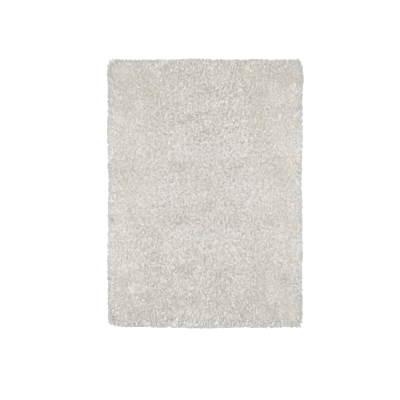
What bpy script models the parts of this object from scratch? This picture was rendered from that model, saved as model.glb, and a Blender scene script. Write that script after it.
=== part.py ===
"""A rectangular shag rug lying flat on a floor: one lumpy slab of long pile, with drooping locks of yarn
all round its rim. Metres, +Z up, +Y along the rug's length. The origin is on the floor, under the middle
of the rug."""

import math
import random

import bmesh
import bpy
from mathutils import Vector, noise

# Size over the tips of the locks, before the edges swell and draw in.
WIDTH = 1.592
LENGTH = 2.202
# How round the slab is at each corner. The locks stand out round it.
CORNER_RADII = {
    ("left", "far"): 0.045,
    ("right", "far"): 0.043,
    ("left", "near"): 0.068,
    ("right", "near"): 0.024,
}

# The pile stands highest in the field and rolls down toward the rim.
FIELD_HEIGHT = 0.0380
RIM_HEIGHT = 0.0290
ROLL_WIDTH = 0.120
# Lumps of the pile's top: how far apart they lie, and how far each set rises and sinks.
LUMPS = (
    # spacing, height
    (0.300, 0.0070),
    (0.130, 0.0130),
    (0.075, 0.0100),
)
LUMPS_AT_RIM = 0.40

# Cells of the slab. Each cell's edge at the rim carries two locks, so there are 4 * (30 + 42) = 288 of them.
CELLS_ACROSS = 30
CELLS_ALONG = 42

# Locks of yarn. Each is four-sided, tapers in two steps from its root to its tip, and lies flat on the floor.
LOCK_LENGTH = 0.029
LOCK_LENGTH_SPREAD = 0.006
LOCK_HEIGHT_SPREAD = 0.22
LOCK_STEPS = (
    # share of the length, share of the root's width, share of the root's height
    (0.55, 0.72, 0.80),
    (1.00, 0.44, 0.28),
)
# How far a lock leans to one side for its length: with the locks near it, and by itself.
SHARED_LEAN = 0.60
SHARED_LEAN_SPACING = 0.15
OWN_LEAN = 0.17
SEED = 11

# How the four edges swell and draw in, as the pile lies. Places are measured along the edge from its middle.
EDGE_SWELLS = (
    # side, place, outward swell, spread
    ("left", 0.950, 0.006, 0.080),
    ("left", 0.500, 0.006, 0.120),
    ("left", 0.070, -0.008, 0.100),
    ("left", -0.520, 0.004, 0.110),
    ("right", 0.920, 0.010, 0.090),
    ("right", 0.470, 0.005, 0.070),
    ("right", 0.070, -0.006, 0.120),
    ("right", -0.510, 0.003, 0.070),
    ("far", -0.060, 0.006, 0.150),
    ("far", 0.460, 0.005, 0.090),
    ("far", -0.600, -0.003, 0.120),
    ("near", -0.050, 0.008, 0.170),
    ("near", -0.660, -0.007, 0.120),
    ("near", 0.480, 0.002, 0.120),
)

PILE_COLOR = (0.66, 0.63, 0.58, 1.0)
PILE_ROUGHNESS = 0.9

# The slab ends where the locks are rooted.
HALF_WIDTH = WIDTH / 2 - LOCK_LENGTH
HALF_LENGTH = LENGTH / 2 - LOCK_LENGTH


def clear_scene():
    for obj in list(bpy.data.objects):
        bpy.data.objects.remove(obj, do_unlink=True)


def pile_material():
    material = bpy.data.materials.new("pile")
    material.use_nodes = True
    shader = material.node_tree.nodes["Principled BSDF"]
    shader.inputs["Base Color"].default_value = PILE_COLOR
    shader.inputs["Roughness"].default_value = PILE_ROUGHNESS
    shader.inputs["Metallic"].default_value = 0.0
    return material


def edge_swell(side, place):
    """How far the edge on this side stands out from a straight one, at this place along it."""
    return sum(
        swell * math.exp(-(((place - middle) / spread) ** 2))
        for name, middle, swell, spread in EDGE_SWELLS
        if name == side
    )


def sides_of(x, y):
    return "right" if x > 0 else "left", "far" if y > 0 else "near"


def rounded_corner(x, y):
    """Moves a point near a square corner so that the corner's square becomes a quarter disc."""
    radius = CORNER_RADII[sides_of(x, y)]
    over_x = abs(x) - (HALF_WIDTH - radius)
    over_y = abs(y) - (HALF_LENGTH - radius)
    if over_x <= 0 or over_y <= 0:
        return x, y
    pull = 1 - max(over_x, over_y) / math.hypot(over_x, over_y)
    return x - math.copysign(over_x * pull, x), y - math.copysign(over_y * pull, y)


def laid_out(x, y):
    """The place of a point of the slab once its corners are round and its edges uneven."""
    x, y = rounded_corner(x, y)
    side, end = sides_of(x, y)
    return x * (1 + edge_swell(side, y) / HALF_WIDTH), y * (1 + edge_swell(end, x) / HALF_LENGTH)


def pile_height(x, y, rim_distance):
    """The height of the pile's top at this place, so far in from the rim."""
    share = min(rim_distance / ROLL_WIDTH, 1)
    rolled = RIM_HEIGHT + (FIELD_HEIGHT - RIM_HEIGHT) * math.sin(share * math.pi / 2)
    lumps = sum(height * noise.noise(Vector((x, y, 0)) / spacing) for spacing, height in LUMPS)
    return rolled + lumps * (LUMPS_AT_RIM + (1 - LUMPS_AT_RIM) * share)


def add_top(bm):
    """The pile's lumpy top, as a grid with round corners and uneven edges."""
    bmesh.ops.create_grid(bm, x_segments=CELLS_ACROSS, y_segments=CELLS_ALONG, size=1)
    bmesh.ops.bisect_edges(bm, edges=[edge for edge in bm.edges if edge.is_boundary], cuts=1)
    for vert in bm.verts:
        square_x = vert.co.x * HALF_WIDTH
        square_y = vert.co.y * HALF_LENGTH
        rim_distance = min(HALF_WIDTH - abs(square_x), HALF_LENGTH - abs(square_y))
        x, y = laid_out(square_x, square_y)
        vert.co = (x, y, pile_height(x, y, rim_distance))


def bearing(face):
    """The direction of a wall face from the rug's middle, which orders the faces round the rim."""
    middle = face.calc_center_median()
    return math.atan2(middle.y, middle.x)


def add_wall_and_base(bm):
    """Drops the rim to the floor and closes the flat base. Gives the wall's faces, one for each lock."""
    rim = [edge for edge in bm.edges if edge.is_boundary]
    dropped = bmesh.ops.extrude_edge_only(bm, edges=rim)["geom"]
    for item in dropped:
        if isinstance(item, bmesh.types.BMVert):
            item.co.z = 0
    bmesh.ops.holes_fill(bm, edges=[edge for edge in bm.edges if edge.is_boundary])
    bmesh.ops.recalc_face_normals(bm, faces=bm.faces)
    wall = [item for item in dropped if isinstance(item, bmesh.types.BMFace)]
    return sorted(wall, key=bearing)


def lock_shape(face, chance):
    """The frame of the lock that is rooted on this wall face, with its own length, height and lean."""
    root = face.calc_center_median()
    outward = Vector((face.normal.x, face.normal.y, 0)).normalized()
    aside = Vector((-outward.y, outward.x, 0))
    return {
        "root": Vector((root.x, root.y, 0)),
        "outward": outward,
        "aside": aside,
        "half_width": max(abs((vert.co - root).dot(aside)) for vert in face.verts),
        "height": 2 * root.z * (1 + chance.uniform(-LOCK_HEIGHT_SPREAD, LOCK_HEIGHT_SPREAD)),
        "length": LOCK_LENGTH + chance.uniform(-LOCK_LENGTH_SPREAD, LOCK_LENGTH_SPREAD),
        "lean": SHARED_LEAN * noise.noise(root / SHARED_LEAN_SPACING) + chance.uniform(-OWN_LEAN, OWN_LEAN),
    }


def add_locks(bm, wall):
    """Draws each wall face out into a lock of its own, whose root stays fused to the slab."""
    chance = random.Random(SEED)
    number = bm.faces.layers.int["lock"]
    locks = []
    for face in wall:
        face[number] = len(locks)
        locks.append(lock_shape(face, chance))
    ends = wall
    for length_share, width_share, height_share in LOCK_STEPS:
        ends = bmesh.ops.extrude_discrete_faces(bm, faces=ends)["faces"]
        for end in ends:
            lock = locks[end[number]]
            reach = lock["length"] * length_share
            middle = lock["root"] + lock["outward"] * reach + lock["aside"] * lock["lean"] * reach
            centre = end.calc_center_median()
            for vert in end.verts:
                side = math.copysign(width_share * lock["half_width"], (vert.co - centre).dot(lock["aside"]))
                height = lock["height"] * height_share if vert.co.z > centre.z else 0
                vert.co = middle + lock["aside"] * side + Vector((0, 0, height))


def centre_over_origin(bm):
    """Puts the middle of the whole outline, locks and all, over the origin."""
    low = Vector(min(vert.co[axis] for vert in bm.verts) for axis in range(3))
    high = Vector(max(vert.co[axis] for vert in bm.verts) for axis in range(3))
    middle = (low + high) / 2
    bmesh.ops.translate(bm, verts=bm.verts, vec=(-middle.x, -middle.y, 0))


def add_shag_rug(collection):
    mesh = bpy.data.meshes.new("shag_rug")
    bm = bmesh.new()
    bm.faces.layers.int.new("lock")
    add_top(bm)
    add_locks(bm, add_wall_and_base(bm))
    centre_over_origin(bm)
    bm.to_mesh(mesh)
    bm.free()
    mesh.shade_smooth()
    mesh.set_sharp_from_angle(angle=math.radians(40))
    mesh.materials.append(pile_material())
    collection.objects.link(bpy.data.objects.new("shag_rug", mesh))


def main():
    clear_scene()
    collection = bpy.data.collections.new("shag_rug")
    bpy.context.scene.collection.children.link(collection)
    add_shag_rug(collection)


main()
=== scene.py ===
"""The looks of a rectangular shag rug: long off-white strands of yarn that lean every way on a flat woven
backing, and fall outward over its edge down to the floor. Metres, +Z up, +Y along the rug's length."""

import math

import bpy
import numpy as np
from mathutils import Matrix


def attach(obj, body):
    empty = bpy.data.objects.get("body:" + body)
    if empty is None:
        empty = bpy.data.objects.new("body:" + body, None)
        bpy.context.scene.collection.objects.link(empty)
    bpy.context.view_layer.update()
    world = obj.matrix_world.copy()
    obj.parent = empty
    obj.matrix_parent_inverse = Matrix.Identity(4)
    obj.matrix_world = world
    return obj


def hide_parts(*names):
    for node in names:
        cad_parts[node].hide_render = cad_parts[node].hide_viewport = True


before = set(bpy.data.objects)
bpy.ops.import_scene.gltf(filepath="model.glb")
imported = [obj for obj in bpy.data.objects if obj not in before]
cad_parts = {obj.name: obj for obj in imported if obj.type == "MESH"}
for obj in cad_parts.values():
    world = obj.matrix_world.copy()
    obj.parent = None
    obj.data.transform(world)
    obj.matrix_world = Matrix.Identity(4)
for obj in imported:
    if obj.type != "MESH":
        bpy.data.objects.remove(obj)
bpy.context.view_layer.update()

# Outline over the strands' tips, near the solid's: its size, how round its corners are, and how its edges
# swell.
WIDTH = 1.5955
LENGTH = 2.198
OUTLINE_MIDDLE = (-0.002, 0.001)
CORNER_RADII = {"far_left": 0.064, "far_right": 0.070, "near_left": 0.094, "near_right": 0.060}
EDGE_SWELLS = (
    # side, place along it, outward swell, spread
    ("left", 0.950, 0.006, 0.080),
    ("left", 0.500, 0.006, 0.120),
    ("left", 0.070, -0.008, 0.100),
    ("left", -0.520, 0.004, 0.110),
    ("right", 0.920, 0.010, 0.090),
    ("right", 0.470, 0.005, 0.070),
    ("right", 0.070, -0.006, 0.120),
    ("right", -0.510, 0.003, 0.070),
    ("far", -0.060, 0.006, 0.150),
    ("far", 0.460, 0.005, 0.090),
    ("far", -0.600, -0.003, 0.120),
    ("near", -0.050, 0.008, 0.170),
    ("near", -0.660, -0.007, 0.120),
    ("near", 0.480, 0.002, 0.120),
)
# Lumps of the pile's top, as in the solid.
LUMPS = (
    # spacing, spread of the heights, seed
    (0.260, 0.0010, 31),
    (0.130, 0.0012, 32),
    (0.070, 0.0010, 33),
)
MOST_LUMP = 0.004
# Soft noise is a sum of this many waves. Their half lengths are these shares of its spacing.
WAVES = 14
WAVE_LENGTHS = (0.75, 1.4)

# The backing, and how far the pile hangs out past its edge.
BACKING_THICKNESS = 0.003
BACKING_CELLS = (36, 50)
OVERHANG = 0.033
LEAST_CORNER_RADIUS = 0.015

# The dense lower pile, which closes the gaps between the strands. Its height is given in the rug's middle,
# at the rug's edges before it rolls down, and where it has rolled down.
BED_CELLS = (48, 66)
BED_HEIGHT = (0.0200, 0.0285)
BED_EDGE_HEIGHT = 0.006
BED_ROLL = 0.034
BED_LUMPS = (
    # spacing, spread of the heights, seed
    (0.060, 0.0012, 51),
    (0.030, 0.0006, 52),
)

# Tufts of a few strands each, moved off a grid by up to this share of a step. A second set along the edge
# stands between them, where the pile fans out.
TUFT_SPACING = 0.0125
TUFT_SCATTER = 0.22
BETWEEN_TUFTS = (TUFT_SPACING / 2, TUFT_SPACING / math.sqrt(12))
EDGE_TUFTS_WIDTH = 0.032
STRANDS_A_TUFT = 3
TUFT_WIDTH = 0.006
SEED = 7

# Strands. Each rises from its root and bends over along part of an ellipse. It starts at this share of the
# way and has rings of points at these shares of the rest. A pair of values is for the rug's middle and its
# edges.
RISE = 0.038
RISE_SPREAD = 0.07
RISE_LIMITS = (0.85, 1.15)
REACH = (0.025, 0.030)
REACH_SPREAD = 0.10
REACH_LIMITS = (0.70, 1.30)
BEND = math.radians(110)
BEND_SPREAD = 0.10
CURL = 0.006
FIELD_START = 0.22
FIELD_SHARES = (0, 0.50, 1)
STRAND_END = 0.8
STRAND_WIDTH = 0.0041
STRAND_WIDTHS = (0.8, 1.2)
STRAND_THICKNESS = 0.0034
SWIRL_SPACING = 0.060
SWIRL_SEED = 21
SWIRL = 0.35
FALL_AWAY = (0.25, 1.0)
ALONG_MORE_THAN_ACROSS = (1.3, 2.8)
SILKY_RISE = 0.002
# Near the edge they lean outward, by this much against what they lose of their swirl.
OUTWARD_WIDTH = 0.045
OUTWARD_PULL = 2.2
SWIRL_LOST = 0.70
# At the edge they bend further, so that their tips come down to the floor, and they differ less from one
# another. Those that lean aside reach further, so that the outline stays even, but no further than for this
# least share.
EDGE_WIDTH = 0.028
EDGE_RISE = 0.029
EDGE_REACH = 0.0428
EDGE_REACH_EVENNESS = 0.04
LEAST_OUTWARD = 0.70
EDGE_BEND = math.radians(175)
EDGE_BEND_EVENNESS = 0.5
MOST_BEND = math.radians(177)
EDGE_STRAIGHTNESS = 0.7
EDGE_START = 0.03
EDGE_STRAND_WIDTH = 0.78
# Strands at the edge start this far up their map, so that they get less painted root shade.
EDGE_SHADED_FROM = 0.30
EDGE_SHARES = (0, 0.40, 0.74, 1)
FALLING = 0.45
# The outermost ones lie in layers, down to this much lower, so that they hide the backing's edge.
LOWEST_LAYER = 0.70
LAYERS_WIDTH = 0.012
# Round a corner they fan out from a circle of this radius, and those on its diagonal reach this much further.
FAN_RADIUS = 0.080
CORNER_REACH = 1.25

# The sorts of yarn: each one's share of the strands, and its darkest and its lightest shade, linear.
YARNS = {
    "peach": (0.06, (0.585, 0.532, 0.454), (0.912, 0.869, 0.818)),
    "oatmeal": (0.40, (0.537, 0.504, 0.414), (0.966, 0.929, 0.866)),
    "ivory": (0.38, (0.600, 0.569, 0.532), (0.988, 0.951, 0.941)),
    "dove": (0.03, (0.477, 0.474, 0.478), (0.890, 0.888, 0.897)),
    "silky": (0.06, (0.90, 0.875, 0.855), (0.99, 0.965, 0.952)),
}
LIGHTNESS = 0.65
DARKER_TOWARD_EDGES = 0.15
# Toward the ends the strands are made darker: painted shade.
ENDS_PAINTED_SHADE = 0.28
# How widely the lightness varies in the middle and at the long edges. A gamma spread, given by its shape
# and its step, skews it, so that a few strands are far lighter than most.
LIGHTNESS_SPREAD = (0.42, 0.14)
LIGHTNESS_SHAPE = 2
LIGHTNESS_STEP = 0.7
SILKY = list(YARNS).index("silky")
SILKY_MIDDLE = 0.22
# Soft patches of the pile. Places are distances from the rug's middle, so each patch lies in all four
# quarters.
PATCHES = (
    # across, along, spread across, spread along, how much lighter, sort of yarn, how much more of it
    (0.47, 0.83, 0.045, 0.045, -0.18, "peach", 2.6),
    (0.30, 1.01, 0.035, 0.040, -0.15, "peach", 1.0),
    (0.63, 0.69, 0.040, 0.050, -0.16, "oatmeal", 0.6),
    (0.43, 0.64, 0.070, 0.230, -0.05, "oatmeal", 1.6),
    (0.10, 0.80, 0.240, 0.140, -0.09, "oatmeal", 0.8),
    (0.15, 0.62, 0.100, 0.050, -0.20, "oatmeal", 1.0),
    (0.19, 0.22, 0.120, 0.045, -0.12, "oatmeal", 1.0),
    (0.02, 0.10, 0.040, 0.080, -0.10, "oatmeal", 1.0),
    (0.60, 0.20, 0.120, 0.060, -0.06, "oatmeal", 0.6),
    (0.61, 0.43, 0.060, 0.170, -0.02, "ivory", 1.6),
    (0.19, 0.34, 0.110, 0.070, 0.16, "ivory", 2.0),
    (0.37, 0.03, 0.140, 0.100, 0.12, "ivory", 1.2),
    (0.03, 0.33, 0.050, 0.060, 0.10, "dove", 0.4),
    (0.03, 0.51, 0.090, 0.070, -0.08, "oatmeal", 0.2),
    (0.80, 0.00, 0.030, 2.000, 0.00, "ivory", 0.2),
    (0.75, 0.40, 0.050, 0.080, 0.14, "dove", 0.8),
    (0.76, 0.20, 0.035, 0.040, -0.15, "dove", 0.3),
    (0.18, 0.96, 0.280, 0.070, -0.12, "ivory", 0.5),
    (0.63, 0.83, 0.110, 0.130, -0.14, "ivory", 1.6),
    (0.58, 0.95, 0.220, 0.060, -0.15, "ivory", 0.8),
    (0.76, 1.05, 0.090, 0.080, -0.02, "dove", 0.25),
    (0.00, 1.06, 1.500, 0.045, 0.00, "dove", 0.30),
    (0.00, 1.07, 0.200, 0.040, -0.24, "ivory", 0.2),
    (0.55, 1.06, 0.160, 0.040, 0.07, "ivory", 0.2),
    (0.74, 0.90, 0.080, 0.130, -0.04, "dove", 0.1),
)
# The pile's edge is darker, as painted shade where its strands fall over the edge; it has more of the dove
# yarn, which is greyer and, as painted shade too, darker; and it is more even.
EDGE_PAINTED_SHADE_WIDTH = 0.021
EDGE_PAINTED_SHADE = -0.38
EDGE_DOVE_AND_SHADE_WIDTH = 0.018
EDGE_DOVE_AND_SHADE = 3.2
EDGE_EVENNESS = 0.8

# How the yarns are finished: painted shade toward the root, contrast along the strand, and lowest and highest
# roughness.
SOFT_FIBRES = (0.45, 0.04, 0.66, 0.84)
SILKY_FIBRES = (0.40, 0.03, 0.34, 0.52)
SOFT_SHEEN = 0.15
SILKY_SHEEN = 0.30
SHEEN_ROUGHNESS = 0.4
# The colour that the painted shade runs to at the root, and how far up the strand's map it reaches.
ROOT_SHADE_COLOR = (0.24, 0.21, 0.15, 1)
ROOT_SHADE_END = 0.75
FIBRE_SCALE = (60.0, 14.0, 1.0)
FIBRE_DETAIL = 3.0
# Each sort's two shades lie at these shares of its strip of the map, and most of a noise lies in this range.
SHADE_ENDS = (0.01, 0.99)
NOISE_RANGE = (0.3, 0.7)
PLY_TURNS = 9
PLY_BUMP = 0.00025

# The finish of the dense lower pile, and of the backing's plain weave. Fibres are given as the scale of their
# grain, and its lowest and highest roughness.
GRAIN_DETAIL = 5.0
GRAIN_ROUGHNESS = 0.6
BED_FIBRES = (900.0, 0.80, 0.95)
BED_END_SHARE = 0.7
BED_FIBRE_SHARE = 0.3
BED_ATTRIBUTE = "rolled_down"
BED_END_SPACING = 0.0065
# The lower pile's yarn, from the gaps between its ends to the ends: darker than the strands, as painted
# shade.
BED_PAINTED_SHADE_COLORS = ((0.53, 0.487, 0.390, 1), (0.72, 0.671, 0.567, 1))
# Painted light where the lower pile has rolled down under the falling strands.
BED_EDGE_PAINTED_LIGHT = (0.82, 0.79, 0.73, 1)
BED_BUMP = 0.002
THREAD_PITCH = (0.0045, 0.0060)
THREAD_BUMP = 0.0008
# The weave's colour from its hollows, as painted shade, to its raised threads.
BACKING_HOLLOW_SHADE_AND_THREAD_COLORS = ((0.36, 0.31, 0.23, 1), (0.66, 0.60, 0.49, 1))
BACKING_FIBRES = (700.0, 0.78, 0.95)
BACKING_FIBRE_COLOR = (0.76, 0.71, 0.61, 1)
BACKING_FIBRE_SHARE = 0.25
BACKING_FIBRE_HEIGHT = 0.1

# The strips that the field's strands are shared out into, and the strands' map.
STRIPS = 6
STRAND_MAP = "OFBake"
STRAND_MAP_HALF_WIDTH = 0.004
SORT_MARGIN = 0.08

# The camera looks straight down. The rug's middle lies a little right of the picture's middle, and above it.
PICTURE_PIXELS = 400
METRES_A_PIXEL = 0.00819
RUG_MIDDLE_PIXEL = (205.12, 193.45)
CAMERA_HEIGHT = 7.0
PILE_EDGE_HEIGHT = 0.012
SENSOR = 36.0

FLOOR_SIZE = 30
FLOOR_COLOR = (0.90, 0.90, 0.90, 1)
FLOOR_ROUGHNESS = 0.9
# Soft light from all round, and more of it from a wide lamp nearly overhead.
ROUND_LIGHT_COLOR = (0.985, 0.99, 1, 1)
ROUND_LIGHT = 1.04
LAMP_LIGHT = 2.32
LAMP_SPREAD = math.radians(50)
LAMP_TURN = (math.radians(-2), math.radians(-1), 0)


def smooth_noise(x, y, spacing, seed):
    """Soft lumps about this far apart, with a spread of one: the sum of plane waves in many directions, whose
    lengths lie around twice the spacing."""
    chance = np.random.default_rng(seed)
    turn = chance.uniform(0, 2 * math.pi, WAVES)
    pitch = math.pi / (spacing * chance.uniform(*WAVE_LENGTHS, WAVES))
    phase = chance.uniform(0, 2 * math.pi, WAVES)
    heights = np.sin(np.outer(x, pitch * np.cos(turn)) + np.outer(y, pitch * np.sin(turn)) + phase)
    return heights.sum(axis=1) * math.sqrt(2 / WAVES)


def edge_swell(side, place):
    """How far an edge stands out from a straight one: the sum of this side's bell-shaped swells."""
    out = np.zeros_like(place)
    for name, middle, swell, spread in EDGE_SWELLS:
        if name == side:
            out += swell * np.exp(-(((place - middle) / spread) ** 2))
    return out


def half_sizes(x, y):
    """Half the outline's width and length at each point, on that point's own side of the middle."""
    half_width = WIDTH / 2 + np.where(x > 0, edge_swell("right", y), edge_swell("left", y))
    half_length = LENGTH / 2 + np.where(y > 0, edge_swell("far", x), edge_swell("near", x))
    return half_width, half_length


def corner_radius(x, y):
    """The radius of the corner in each point's quarter."""
    far = np.where(x > 0, CORNER_RADII["far_right"], CORNER_RADII["far_left"])
    near = np.where(x > 0, CORNER_RADII["near_right"], CORNER_RADII["near_left"])
    return np.where(y > 0, far, near)


def past_straight(x, y, radius):
    """How far past the straight parts of the two nearest edges each point lies, if corners have this
    radius."""
    half_width, half_length = half_sizes(x, y)
    return np.stack([np.abs(x) - half_width + radius, np.abs(y) - half_length + radius], axis=1)


def inward_of(x, y):
    """How far in from the outline each point lies: the distance to a rectangle with uneven edges and round
    corners."""
    radius = corner_radius(x, y)
    past = past_straight(x, y, radius)
    return radius - np.hypot(*np.maximum(past, 0).T) - np.minimum(past.max(axis=1), 0)


def outward_of(x, y):
    """The way out at each point: square to the nearest edge, and turning in a fan round a corner."""
    past = past_straight(x, y, FAN_RADIUS)
    fan = np.where(past.min(axis=1, keepdims=True) > 0, past, np.eye(2)[past.argmax(axis=1)])
    return fan / np.hypot(*fan.T)[:, None] * np.sign(np.stack([x, y], axis=1))


def diagonal_of(outward):
    """From 0 where the way out is square to an edge to 1 where it is diagonal: twice the product of its
    parts."""
    return 2 * np.abs(outward.prod(axis=1))


def near_edge(inward, width):
    """From 1 at the backing's edge to 0 in the field: half a bell, this wide."""
    return np.exp(-((np.maximum(inward, 0) / width) ** 2))


def way_out(x, y):
    """From 0 in the rug's middle to 1 at its edges: the square of the distance, for a rug of half-size
    one."""
    return np.clip((x / (WIDTH / 2)) ** 2 + (y / (LENGTH / 2)) ** 2, 0, 1)


def scattered(spacing, chance):
    """Places over the whole outline: a staggered grid, each point moved at random by up to a share of a
    step."""
    across = np.arange(-WIDTH / 2, WIDTH / 2, spacing)
    along = np.arange(-LENGTH / 2, LENGTH / 2, spacing * math.sqrt(3) / 2)
    x, y = np.meshgrid(across, along)
    x = x + (np.arange(len(along)) % 2)[:, None] * spacing / 2
    places = np.stack([x.ravel(), y.ravel()], axis=1)
    return places + chance.uniform(-TUFT_SCATTER, TUFT_SCATTER, places.shape) * spacing


def tuft_roots(chance):
    """Places of the tufts: those of the scattered points that lie on the backing, and at its edge a second
    set between them, in a band that is twice as wide on a corner's diagonal."""
    field = scattered(TUFT_SPACING, chance)
    edge = scattered(TUFT_SPACING, chance) + BETWEEN_TUFTS
    field_inward = inward_of(*field.T) - OVERHANG
    edge_inward = inward_of(*edge.T) - OVERHANG
    band = EDGE_TUFTS_WIDTH * (1 + diagonal_of(outward_of(*edge.T)))
    at_edge = (edge_inward > TUFT_WIDTH / 2) & (edge_inward < band)
    return np.concatenate([field[field_inward > TUFT_WIDTH / 2], edge[at_edge]])


def shades(x, y, inward, chance):
    """The sort of yarn of each strand, and its lightness from 0 to 1. The sorts are drawn at random, with
    shares that the patches, the middle and the edge change. The lightness is a mean that they change too,
    plus a skewed gamma spread that is narrower toward the long edges and at the rim. At the rim the lightness
    is lowered and more dove yarn is drawn, and toward the ends the lightness is lowered, all as painted
    shade. A patch fades out as a bell."""
    names = list(YARNS)
    shares = np.tile([share for share, _, _ in YARNS.values()], (len(x), 1))
    lightness = LIGHTNESS - DARKER_TOWARD_EDGES * way_out(x, y) - ENDS_PAINTED_SHADE * (y / (LENGTH / 2)) ** 4
    for across, along, wide, long, lighter, name, more in PATCHES:
        patch = np.exp(-(((np.abs(x) - across) / wide) ** 2) - ((np.abs(y) - along) / long) ** 2)
        lightness += lighter * patch
        shares[:, names.index(name)] += more * patch
    shares[:, SILKY] += SILKY_MIDDLE * np.exp(-((x / (WIDTH / 4)) ** 2))
    # Painted shade at the rim: the strands there are made darker, and more of them are drawn as the darker,
    # greyer dove yarn.
    rim_painted_shade = near_edge(inward, EDGE_PAINTED_SHADE_WIDTH)
    lightness += EDGE_PAINTED_SHADE * rim_painted_shade
    shares[:, names.index("dove")] += EDGE_DOVE_AND_SHADE * near_edge(inward, EDGE_DOVE_AND_SHADE_WIDTH)
    shares = np.cumsum(shares, axis=1)
    drawn = chance.uniform(0, 1, len(x)) * shares[:, -1]
    sort = (drawn[:, None] > shares).sum(axis=1)
    spread = np.interp(np.abs(x) / (WIDTH / 2), (0, 1), LIGHTNESS_SPREAD)
    spread = spread * (1 - EDGE_EVENNESS * rim_painted_shade)
    skewed = chance.gamma(LIGHTNESS_SHAPE, LIGHTNESS_STEP, len(x)) - LIGHTNESS_SHAPE * LIGHTNESS_STEP
    return sort, (lightness + spread * skewed).clip(0, 1)


def strands(chance):
    """One row for each strand: its root, the way it leans, its sizes and its shade. Each strand has its own
    turn, a swirl adds one that neighbouring tufts share, and near the edge the outward direction takes
    over."""
    tufts = tuft_roots(chance)
    tuft_turn = 2 * math.pi * smooth_noise(*tufts.T, SWIRL_SPACING, SWIRL_SEED)
    roots = np.repeat(tufts, STRANDS_A_TUFT, axis=0)
    count = len(roots)
    shared = np.repeat(tuft_turn, STRANDS_A_TUFT)
    own = chance.uniform(0, 2 * math.pi, count)
    roots += chance.uniform(-0.5, 0.5, roots.shape) * TUFT_WIDTH
    x, y = roots.T
    inward = inward_of(x, y) - OVERHANG
    outward = outward_of(x, y)
    edge = near_edge(inward, EDGE_WIDTH)
    out = way_out(x, y)
    reach = np.interp(out, (0, 1), REACH)
    pull = np.exp(-np.maximum(inward, 0) / OUTWARD_WIDTH)[:, None]
    swirl = np.stack([np.cos(own) + SWIRL * np.cos(shared), np.sin(own) + SWIRL * np.sin(shared)], axis=1)
    swirl += roots / (WIDTH / 2, LENGTH / 2) * FALL_AWAY
    swirl[:, 1] *= np.interp(out, (0, 1), ALONG_MORE_THAN_ACROSS)
    lean = swirl * (1 - SWIRL_LOST * pull) + OUTWARD_PULL * outward * pull
    lean /= np.hypot(*lean.T)[:, None]
    aslant = 1 + (1 / (lean * outward).sum(axis=1).clip(LEAST_OUTWARD, 1) - 1) * edge
    corner = 1 + (CORNER_REACH - 1) * edge * diagonal_of(outward)
    lumps = sum(spread * smooth_noise(x, y, spacing, seed) for spacing, spread, seed in LUMPS)
    lumps = lumps.clip(-MOST_LUMP, MOST_LUMP)
    size = 1 + chance.normal(0, 1, count) * (REACH_SPREAD - EDGE_REACH_EVENNESS * edge)
    sort, lightness = shades(x, y, inward, chance)
    lumps += SILKY_RISE * (sort == SILKY)
    low = chance.uniform(0, LOWEST_LAYER, count) * near_edge(inward, LAYERS_WIDTH)
    bend = BEND + (EDGE_BEND - BEND) * edge
    bend = bend + chance.normal(0, BEND_SPREAD, count) * (1 - EDGE_BEND_EVENNESS * edge)
    return {
        "root": roots,
        "edge": edge,
        "start": FIELD_START + (EDGE_START - FIELD_START) * edge,
        "lean": lean,
        "bend": np.minimum(bend, MOST_BEND),
        "rise": (RISE + lumps + (EDGE_RISE - RISE) * edge)
        * chance.normal(1, RISE_SPREAD, count).clip(*RISE_LIMITS)
        * (1 - low),
        "reach": (reach + (EDGE_REACH - reach) * edge) * size.clip(*REACH_LIMITS) * corner * aslant,
        "curl": chance.normal(0, CURL, count) * (1 - EDGE_STRAIGHTNESS * edge),
        "width": chance.uniform(*STRAND_WIDTHS, count) * (1 + (EDGE_STRAND_WIDTH - 1) * edge),
        "sort": sort,
        "lightness": lightness,
    }


def strand_points(rows, shares):
    """The points of each strand: a ring of three at each station but the last, two aside and one on top,
    and two at its end, which is cut straight across. The stations lie at these shares of the way from where
    it leaves the lower pile. At each its line has gone out by its reach times (1 - cos a) / (1 - cos bend)
    and up by its rise times sin a, for the angle a bent so far, and it curls aside with the square of the
    way along. A ring's two lower points lie a third of the thickness under the line, and its top two thirds
    over it."""
    way = rows["start"][:, None] + (1 - rows["start"][:, None]) * shares
    angle = rows["bend"][:, None] * way
    out = (1 - np.cos(angle)) * (rows["reach"] / (1 - np.cos(rows["bend"])))[:, None]
    lean = np.append(rows["lean"], np.zeros((len(angle), 1)), axis=1)[:, None]
    aside = np.stack([-lean[..., 1], lean[..., 0], lean[..., 2]], axis=-1)
    line = lean * out[..., None] + aside * (rows["curl"][:, None] * way**2)[..., None]
    line[..., :2] += rows["root"][:, None] + OUTLINE_MIDDLE
    line[..., 2] += np.sin(angle) * rows["rise"][:, None] + BACKING_THICKNESS / 2
    along = np.gradient(line, axis=1)
    top = np.cross(along, aside)
    top /= np.linalg.norm(top, axis=2)[..., None]
    width = rows["width"][:, None, None]
    left = aside * width * STRAND_WIDTH / 2
    ridge = top[:, :-1] * width * STRAND_THICKNESS / 3
    rings = line[:, :-1]
    corners = np.stack([rings - left - ridge, rings + left - ridge, rings + 2 * ridge], axis=2)
    end = np.concatenate([line[:, -1:] - left * STRAND_END, line[:, -1:] + left * STRAND_END], axis=1)
    return np.concatenate([corners.reshape(len(line), -1, 3), end], axis=1)


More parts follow.
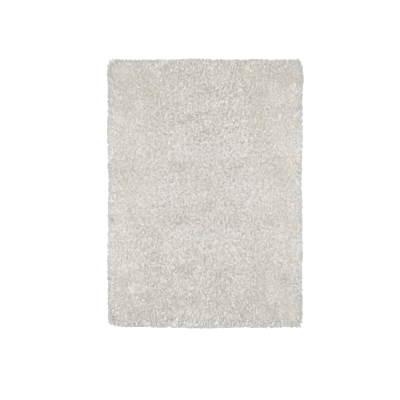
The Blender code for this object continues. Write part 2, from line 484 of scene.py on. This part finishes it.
def strand_map(rows, shares):
    """A map point for each of a strand's points. Across the map lie the sorts of yarn, each from dark to
    light, and up it lies the way along the strand, so strands of one shade share one narrow upright strip.
    The way starts above the darkest painted root shade, and higher for strands at the edge, which get less of
    it."""
    share = SORT_MARGIN + (1 - 2 * SORT_MARGIN) * rows["lightness"]
    across = ((rows["sort"] + share) / len(YARNS))[:, None]
    rings = len(shares) - 1
    side = STRAND_MAP_HALF_WIDTH * np.array([-1, 1, 0] * rings + [-STRAND_END, STRAND_END])
    station = np.repeat(np.arange(rings + 1), [3] * rings + [2])
    foot = (FIELD_START + (EDGE_SHADED_FROM - FIELD_START) * rows["edge"])[:, None]
    way = foot + (1 - foot) * np.array(shares)[station]
    return np.stack(np.broadcast_arrays(across + side, way), axis=-1)


def strand_faces(count, shares):
    """The faces of this many strands: for each strand a triangle at its foot, three sides between each two
    rings, and four faces round its end."""
    rings = len(shares) - 1
    last, end = 3 * rings - 3, 3 * rings
    triangles = [(1, 0, 2), (last + 1, last + 2, end + 1), (last + 2, last, end), (last + 2, end, end + 1)]
    sides = [(last, last + 1, end + 1, end)]
    for ring in range(0, last, 3):
        for near, far in ((0, 1), (1, 2), (2, 0)):
            sides.append((ring + near, ring + far, ring + far + 3, ring + near + 3))
    first = (end + 2) * np.arange(count)[:, None, None]
    return [(first + np.array(triangles)).reshape(-1, 3), (first + np.array(sides)).reshape(-1, 4)]


def mesh_of(name, points, faces, map_name=None, map_points=None):
    """A mesh from arrays: points, and faces as a list of arrays with one row for each face. Map points are
    given one for each point."""
    corners = np.concatenate([rows.ravel() for rows in faces])
    sizes = np.concatenate([np.full(len(rows), rows.shape[1]) for rows in faces])
    mesh = bpy.data.meshes.new(name)
    mesh.vertices.add(len(points))
    mesh.vertices.foreach_set("co", points.astype(np.float32).ravel())
    mesh.loops.add(len(corners))
    mesh.loops.foreach_set("vertex_index", corners.astype(np.int32))
    mesh.polygons.add(len(sizes))
    mesh.polygons.foreach_set("loop_start", (np.cumsum(sizes) - sizes).astype(np.int32))
    if map_name:
        layer = mesh.uv_layers.new(name=map_name)
        layer.uv.foreach_set("vector", map_points[corners].astype(np.float32).ravel())
    mesh.update(calc_edges=True)
    mesh.shade_smooth()
    return mesh


def add_piece(name, mesh, materials):
    """A finished piece of the rug: it lies with the rug's solid, and stands for it."""
    for material in materials:
        mesh.materials.append(material)
    piece = bpy.data.objects.new(name, mesh)
    bpy.context.scene.collection.objects.link(piece)
    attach(piece, "root")
    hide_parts("shag_rug")
    return piece


def new_material(name):
    material = bpy.data.materials.new(name)
    material.use_nodes = True
    return material, material.node_tree.nodes, material.node_tree.links


def fill_ramp(ramp, stops):
    """Gives a colour ramp these stops, each a place and a colour. A new stop starts halfway and is then
    moved."""
    while len(ramp.elements) < len(stops):
        ramp.elements.new(0.5)
    for element, (place, color) in zip(ramp.elements, stops):
        element.position = place
        element.color = (*color, 1)


def feed(tree, socket, value):
    """Links an output to an input, or sets the input where the value is a plain number or colour."""
    if isinstance(value, bpy.types.NodeSocket):
        tree.links.new(value, socket)
    else:
        socket.default_value = value


def math_node(tree, operation, *values):
    """The output of a math node that is fed these numbers or outputs."""
    node = tree.nodes.new("ShaderNodeMath")
    node.operation = operation
    for socket, value in zip(node.inputs, values):
        feed(tree, socket, value)
    return node.outputs[0]


def map_range(tree, value, span, low, high):
    """The output of a node that takes a value from this span to the range from low to high, and holds it
    there."""
    node = tree.nodes.new("ShaderNodeMapRange")
    for name, given in zip(("Value", "From Min", "From Max", "To Min", "To Max"), (value, *span, low, high)):
        feed(tree, node.inputs[name], given)
    return node.outputs["Result"]


def mix_colors(tree, amount, first, second):
    """The colour that lies this far from the first to the second."""
    node = tree.nodes.new("ShaderNodeMix")
    node.data_type = "RGBA"
    factor = next(socket for socket in node.inputs if socket.identifier == "Factor_Float")
    colors = [socket for socket in node.inputs if socket.type == "RGBA"]
    feed(tree, factor, amount)
    feed(tree, colors[0], first)
    feed(tree, colors[1], second)
    return next(socket for socket in node.outputs if socket.type == "RGBA")


def add_bump(material, height, depth):
    """Roughens the material's surface by a height that runs over about one, for a real depth in metres."""
    tree = material.node_tree
    bump = tree.nodes.new("ShaderNodeBump")
    bump.inputs["Strength"].default_value = 1.0
    bump.inputs["Distance"].default_value = depth
    tree.links.new(height, bump.inputs["Height"])
    tree.links.new(bump.outputs["Normal"], tree.nodes["Principled BSDF"].inputs["Normal"])


def yarn_shade_group():
    """Yarn colour, twist and gloss from the strand's map. The colour is the tone across the map, darkened and
    browned toward the root as painted shade, and a little lighter or darker along the way. The twist is the
    height of the plies, which wind round the strand: a sine of the way along. The roughness lies between the
    two given values, as the fibres do."""
    group = bpy.data.node_groups.new("yarn_shade", "ShaderNodeTree")
    for name in ("Painted Root Shade", "Fibre Contrast", "Smoothest", "Roughest"):
        group.interface.new_socket(name, in_out="INPUT", socket_type="NodeSocketFloat")
    for name, kind in (("Color", "Color"), ("Roughness", "Float"), ("Twist", "Float")):
        group.interface.new_socket(name, in_out="OUTPUT", socket_type="NodeSocket" + kind)
    nodes, links = group.nodes, group.links
    given = nodes.new("NodeGroupInput")
    result = nodes.new("NodeGroupOutput")
    place = nodes.new("ShaderNodeUVMap")
    place.uv_map = STRAND_MAP
    split = nodes.new("ShaderNodeSeparateXYZ")
    links.new(place.outputs["UV"], split.inputs[0])
    shade = nodes.new("ShaderNodeValToRGB")
    stops = []
    for number, (_, *ends) in enumerate(YARNS.values()):
        stops += [((number + share) / len(YARNS), color) for share, color in zip(SHADE_ENDS, ends)]
    fill_ramp(shade.color_ramp, stops)
    links.new(split.outputs["X"], shade.inputs["Fac"])
    # Painted shade: the strand is darkened toward its root, deep in the pile.
    depth = map_range(group, split.outputs["Y"], (ROOT_SHADE_END, 0.0), 0.0, 1.0)
    amount = math_node(group, "MULTIPLY", depth, given.outputs["Painted Root Shade"])
    root_shaded = mix_colors(group, amount, shade.outputs["Color"], ROOT_SHADE_COLOR)
    stretch = nodes.new("ShaderNodeMapping")
    stretch.inputs["Scale"].default_value = FIBRE_SCALE
    links.new(place.outputs["UV"], stretch.inputs["Vector"])
    fibres = nodes.new("ShaderNodeTexNoise")
    fibres.inputs["Scale"].default_value = 1.0
    fibres.inputs["Detail"].default_value = FIBRE_DETAIL
    links.new(stretch.outputs["Vector"], fibres.inputs["Vector"])
    lowest = math_node(group, "SUBTRACT", 1.0, given.outputs["Fibre Contrast"])
    highest = math_node(group, "ADD", 1.0, given.outputs["Fibre Contrast"])
    brightness = map_range(group, fibres.outputs["Fac"], NOISE_RANGE, lowest, highest)
    streaked = nodes.new("ShaderNodeVectorMath")
    streaked.operation = "SCALE"
    links.new(root_shaded, streaked.inputs[0])
    links.new(brightness, streaked.inputs["Scale"])
    links.new(streaked.outputs["Vector"], result.inputs["Color"])
    smoothest, roughest = given.outputs["Smoothest"], given.outputs["Roughest"]
    gloss = map_range(group, fibres.outputs["Fac"], NOISE_RANGE, smoothest, roughest)
    links.new(gloss, result.inputs["Roughness"])
    turns = math_node(group, "MULTIPLY", split.outputs["Y"], 2 * math.pi * PLY_TURNS)
    links.new(math_node(group, "SINE", turns), result.inputs["Twist"])
    return group


def yarn_material(name, group, fibres, sheen):
    """A yarn's material. Fibres are given as the painted shade at the root, the contrast along the strand,
    and the lowest and highest roughness."""
    material, nodes, links = new_material(name)
    shader = nodes["Principled BSDF"]
    shade = nodes.new("ShaderNodeGroup")
    shade.node_tree = group
    for socket, value in zip(shade.inputs, fibres):
        socket.default_value = value
    links.new(shade.outputs["Color"], shader.inputs["Base Color"])
    links.new(shade.outputs["Roughness"], shader.inputs["Roughness"])
    add_bump(material, shade.outputs["Twist"], PLY_BUMP)
    shader.inputs["Sheen Weight"].default_value = sheen
    shader.inputs["Sheen Roughness"].default_value = SHEEN_ROUGHNESS
    return material


def fibre_grain_group():
    """Loose fibres on a surface, by its place: fine noise over coarser noise. The mask is from 0 to 1, and
    the roughness lies between the two given values, as the mask does."""
    group = bpy.data.node_groups.new("fibre_grain", "ShaderNodeTree")
    for name in ("Scale", "Smoothest", "Roughest"):
        group.interface.new_socket(name, in_out="INPUT", socket_type="NodeSocketFloat")
    for name in ("Mask", "Roughness"):
        group.interface.new_socket(name, in_out="OUTPUT", socket_type="NodeSocketFloat")
    nodes, links = group.nodes, group.links
    given = nodes.new("NodeGroupInput")
    result = nodes.new("NodeGroupOutput")
    place = nodes.new("ShaderNodeTexCoord")
    noise = nodes.new("ShaderNodeTexNoise")
    noise.inputs["Detail"].default_value = GRAIN_DETAIL
    noise.inputs["Roughness"].default_value = GRAIN_ROUGHNESS
    links.new(place.outputs["Object"], noise.inputs["Vector"])
    links.new(given.outputs["Scale"], noise.inputs["Scale"])
    mask = map_range(group, noise.outputs["Fac"], NOISE_RANGE, 0.0, 1.0)
    links.new(mask, result.inputs["Mask"])
    rough = map_range(group, mask, (0.0, 1.0), given.outputs["Smoothest"], given.outputs["Roughest"])
    links.new(rough, result.inputs["Roughness"])
    return group


def grained(material, group, fibres):
    """Places the fibre grain in a material with these values, links its roughness, and gives its mask."""
    grain = material.node_tree.nodes.new("ShaderNodeGroup")
    grain.node_tree = group
    for socket, value in zip(grain.inputs, fibres):
        socket.default_value = value
    shader = material.node_tree.nodes["Principled BSDF"]
    material.node_tree.links.new(grain.outputs["Roughness"], shader.inputs["Roughness"])
    return grain.outputs["Mask"]


def dense_yarn(grain):
    """The dense lower pile: yarn ends packed side by side, each a round lump with fibres on it, from dark
    gaps to light ends. Its colours are darker than the strands' and darkest in the gaps, as painted shade.
    The ends are the cells nearest to scattered points. It grows lighter where the pile rolls down, as painted
    light that lifts the shade under the strands falling over the edge."""
    material, nodes, links = new_material("dense_yarn")
    tree = material.node_tree
    fibres = grained(material, grain, BED_FIBRES)
    place = nodes.new("ShaderNodeTexCoord")
    ends = nodes.new("ShaderNodeTexVoronoi")
    ends.inputs["Scale"].default_value = 1 / BED_END_SPACING
    links.new(place.outputs["Object"], ends.inputs["Vector"])
    # Painted shade: darker in the gaps between the ends; the same lumps give the bump.
    round_end_and_gap_shade = math_node(tree, "SUBTRACT", 1.0, ends.outputs["Distance"])
    lump = math_node(tree, "MULTIPLY", round_end_and_gap_shade, BED_END_SHARE)
    mask = math_node(tree, "ADD", lump, math_node(tree, "MULTIPLY", fibres, BED_FIBRE_SHARE))
    yarn = mix_colors(tree, mask, *BED_PAINTED_SHADE_COLORS)
    # Painted light: lighter where the pile rolls down.
    rolled = nodes.new("ShaderNodeAttribute")
    rolled.attribute_name = BED_ATTRIBUTE
    color = mix_colors(tree, rolled.outputs["Fac"], yarn, BED_EDGE_PAINTED_LIGHT)
    links.new(color, nodes["Principled BSDF"].inputs["Base Color"])
    add_bump(material, mask, BED_BUMP)
    return material


def woven_backing(grain):
    """A plain weave of two sets of threads, with loose fibres on it. Each thread's height is the size of a
    sine across it, and half the product of the two sines lifts one set and sinks the other at each crossing.
    The
    colour follows that height: dark in the hollows, as painted shade, and light on the raised threads."""
    material, nodes, links = new_material("woven_backing")
    tree = material.node_tree
    fibres = grained(material, grain, BACKING_FIBRES)
    place = nodes.new("ShaderNodeTexCoord")
    split = nodes.new("ShaderNodeSeparateXYZ")
    links.new(place.outputs["Object"], split.inputs[0])
    across, along = (
        math_node(tree, "SINE", math_node(tree, "MULTIPLY", split.outputs[axis], math.pi / pitch))
        for axis, pitch in zip("XY", THREAD_PITCH)
    )
    lift = math_node(tree, "MULTIPLY", math_node(tree, "MULTIPLY", across, along), 0.5)
    warp, weft = (
        math_node(tree, "MULTIPLY", math_node(tree, "ABSOLUTE", wave), math_node(tree, operation, 0.5, lift))
        for wave, operation in ((across, "ADD"), (along, "SUBTRACT"))
    )
    weave = math_node(tree, "MAXIMUM", warp, weft)
    # Painted shade: darker where the weave sinks.
    threads = mix_colors(tree, weave, *BACKING_HOLLOW_SHADE_AND_THREAD_COLORS)
    cover = math_node(tree, "MULTIPLY", fibres, BACKING_FIBRE_SHARE)
    color = mix_colors(tree, cover, threads, BACKING_FIBRE_COLOR)
    links.new(color, nodes["Principled BSDF"].inputs["Base Color"])
    raised = math_node(tree, "MULTIPLY", fibres, BACKING_FIBRE_HEIGHT)
    add_bump(material, math_node(tree, "ADD", weave, raised), THREAD_BUMP)
    return material


def add_strands(name, rows, chosen, shares, materials):
    """One piece of the chosen strands. The silky ones have the second material."""
    part = {key: values[chosen] for key, values in rows.items()}
    faces = strand_faces(len(chosen), shares)
    points = strand_points(part, shares).reshape(-1, 3)
    mesh = mesh_of(name, points, faces, STRAND_MAP, strand_map(part, shares).reshape(-1, 2))
    strip = add_piece(name, mesh, materials)
    silky = part["sort"] == SILKY
    slots = np.concatenate([np.repeat(silky, len(some) // len(chosen)) for some in faces])
    mesh.polygons.foreach_set("material_index", slots.astype(np.int32))
    return strip


def add_pile():
    """The pile: strips of the field across the rug, and the strands that fall over its edge."""
    rows = strands(np.random.default_rng(SEED))
    group = yarn_shade_group()
    materials = (
        yarn_material("soft_yarn", group, SOFT_FIBRES, SOFT_SHEEN),
        yarn_material("silky_yarn", group, SILKY_FIBRES, SILKY_SHEEN),
    )
    falling = rows["edge"] > FALLING
    field = np.flatnonzero(~falling)
    field = field[np.argsort(rows["root"][field, 1], kind="stable")]
    strips = [
        add_strands(f"pile_strip_{number}", rows, chosen, FIELD_SHARES, materials)
        for number, chosen in enumerate(np.array_split(field, STRIPS), 1)
    ]
    return strips + [add_strands("pile_edge", rows, np.flatnonzero(falling), EDGE_SHARES, materials)]


def laid_flat(cells, inset):
    """A grid over the rug's outline drawn in by an inset: a square grid stretched to that size, whose corner
    squares are drawn into quarter discs, and whose edges then swell as the outline does."""
    s, t = np.meshgrid(*(np.linspace(-1, 1, count + 1) for count in cells), indexing="ij")
    x, y = s.ravel() * (WIDTH / 2 - inset), t.ravel() * (LENGTH / 2 - inset)
    radius = np.maximum(corner_radius(x, y) - inset, LEAST_CORNER_RADIUS)
    over_x = np.abs(x) - (WIDTH / 2 - inset) + radius
    over_y = np.abs(y) - (LENGTH / 2 - inset) + radius
    in_corner = (over_x > 0) & (over_y > 0)
    pull = np.where(in_corner, 1 - np.maximum(over_x, over_y) / np.hypot(over_x, over_y), 0)
    x, y = x - np.sign(x) * over_x * pull, y - np.sign(y) * over_y * pull
    half_width, half_length = half_sizes(x, y)
    return np.stack([x * half_width / (WIDTH / 2), y * half_length / (LENGTH / 2)], axis=1)


def slab_mesh(name, cells, flat, low, high):
    """A closed slab from two grids of one flat shape, the upper facing up and the lower down, joined round
    the edge. Its heights are given for each grid."""
    count = len(flat)
    flat = flat + OUTLINE_MIDDLE
    points = np.concatenate([np.column_stack([flat, low]), np.column_stack([flat, high])])
    index = np.arange(count).reshape(cells[0] + 1, cells[1] + 1)
    down = np.stack([index[:-1, :-1], index[:-1, 1:], index[1:, 1:], index[1:, :-1]], axis=-1).reshape(-1, 4)
    rim = np.concatenate([index[0, :-1], index[:-1, -1], index[-1, :0:-1], index[:0:-1, 0]])
    after = np.roll(rim, -1)
    side = np.stack([rim, rim + count, after + count, after], axis=1)
    return mesh_of(name, points, [down, down[:, ::-1] + count, side])


def add_bed(grain):
    """The dense lower pile: a lumpy slab, whose top rolls down toward the edge of the backing as a quarter
    of a sine."""
    flat = laid_flat(BED_CELLS, OVERHANG)
    inward = inward_of(*flat.T) - OVERHANG
    roll = np.sin(np.clip(inward / BED_ROLL, 0, 1) * math.pi / 2)
    field = np.interp(way_out(*flat.T), (0, 1), BED_HEIGHT)
    high = BED_EDGE_HEIGHT + (field - BED_EDGE_HEIGHT) * roll
    for spacing, spread, seed in BED_LUMPS:
        high += spread * smooth_noise(*flat.T, spacing, seed) * roll
    low = np.full(len(flat), BACKING_THICKNESS / 2)
    mesh = slab_mesh("pile_bed", BED_CELLS, flat, low, high)
    lighter = mesh.attributes.new(BED_ATTRIBUTE, "FLOAT", "POINT")
    lighter.data.foreach_set("value", np.tile(1 - roll, 2).astype(np.float32))
    return add_piece("pile_bed", mesh, (dense_yarn(grain),))


def add_backing(grain):
    """The woven backing: a flat slab on the floor."""
    flat = laid_flat(BACKING_CELLS, OVERHANG)
    high = np.full(len(flat), BACKING_THICKNESS)
    mesh = slab_mesh("backing", BACKING_CELLS, flat, np.zeros(len(flat)), high)
    return add_piece("backing", mesh, (woven_backing(grain),))


def add_floor():
    bpy.ops.mesh.primitive_plane_add(size=FLOOR_SIZE)
    floor = bpy.context.object
    floor.name = "floor"
    material, nodes, _ = new_material("plain_floor")
    nodes["Principled BSDF"].inputs["Base Color"].default_value = FLOOR_COLOR
    nodes["Principled BSDF"].inputs["Roughness"].default_value = FLOOR_ROUGHNESS
    floor.data.materials.append(material)


def add_lights():
    world = bpy.data.worlds.new("studio")
    world.use_nodes = True
    background = world.node_tree.nodes["Background"]
    background.inputs["Color"].default_value = ROUND_LIGHT_COLOR
    background.inputs["Strength"].default_value = ROUND_LIGHT
    bpy.context.scene.world = world
    lamp = bpy.data.lights.new("overhead", "SUN")
    lamp.angle = LAMP_SPREAD
    lamp.energy = LAMP_LIGHT
    overhead = bpy.data.objects.new("overhead", lamp)
    overhead.rotation_euler = LAMP_TURN
    bpy.context.scene.collection.objects.link(overhead)


def add_camera():
    data = bpy.data.cameras.new("camera")
    data.sensor_width = SENSOR
    data.lens = SENSOR * (CAMERA_HEIGHT - PILE_EDGE_HEIGHT) / (PICTURE_PIXELS * METRES_A_PIXEL)
    camera = bpy.data.objects.new("camera", data)
    middle = PICTURE_PIXELS / 2
    camera.location = (
        OUTLINE_MIDDLE[0] + (middle - RUG_MIDDLE_PIXEL[0]) * METRES_A_PIXEL,
        OUTLINE_MIDDLE[1] - (middle - RUG_MIDDLE_PIXEL[1]) * METRES_A_PIXEL,
        CAMERA_HEIGHT,
    )
    bpy.context.scene.collection.objects.link(camera)
    bpy.context.scene.camera = camera
    bpy.context.scene.view_settings.view_transform = "Standard"


add_camera()
pile = add_pile()
grain = fibre_grain_group()
pile.append(add_bed(grain))
backing = add_backing(grain)
add_floor()
add_lights()
